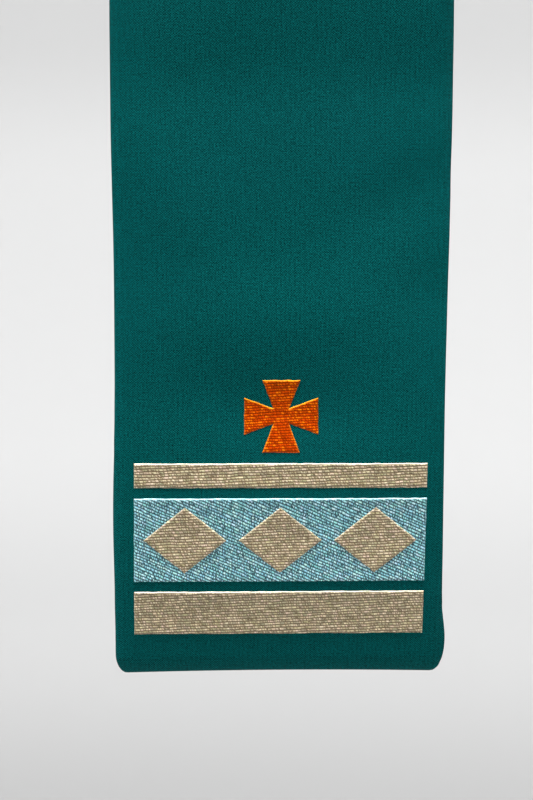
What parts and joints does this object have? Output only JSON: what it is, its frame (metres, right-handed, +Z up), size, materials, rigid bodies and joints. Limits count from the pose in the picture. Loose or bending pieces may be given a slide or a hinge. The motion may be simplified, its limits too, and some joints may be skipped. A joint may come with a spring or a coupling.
{
  "type": "clerical stole",
  "caption": "Long clerical stole as worn: seamed at the middle of the back, open round the neck, both fronts hanging straight, with raised embroidery above each hem.",
  "frame": {"origin": "on the axis of the neck, midway between the two places where the stole rests on the shoulders", "axes": "+Z up, the front faces -Y, +X towards the wearer's left"},
  "size_m": [0.3616, 0.2589, 1.1251],
  "materials": {
    "teal_cloth": "matt, close weave with a faint sheen",
    "beige_thread": "satin embroidery thread in level rows",
    "blue_thread": "satin embroidery thread in slanting rows",
    "orange_thread": "satin embroidery thread in level rows"
  },
  "bodies": {
    "root": {"left_half": "teal_cloth", "right_half": "teal_cloth", "left_lower_band": "beige_thread", "right_lower_band": "beige_thread", "left_wide_band": "blue_thread", "right_wide_band": "blue_thread", "left_upper_band": "beige_thread", "right_upper_band": "beige_thread", "left_lozenge_1": "beige_thread", "left_lozenge_2": "beige_thread", "left_lozenge_3": "beige_thread", "right_lozenge_1": "beige_thread", "right_lozenge_2": "beige_thread", "right_lozenge_3": "beige_thread", "left_cross": "orange_thread", "right_cross": "orange_thread"}
  },
  "joints": []
}
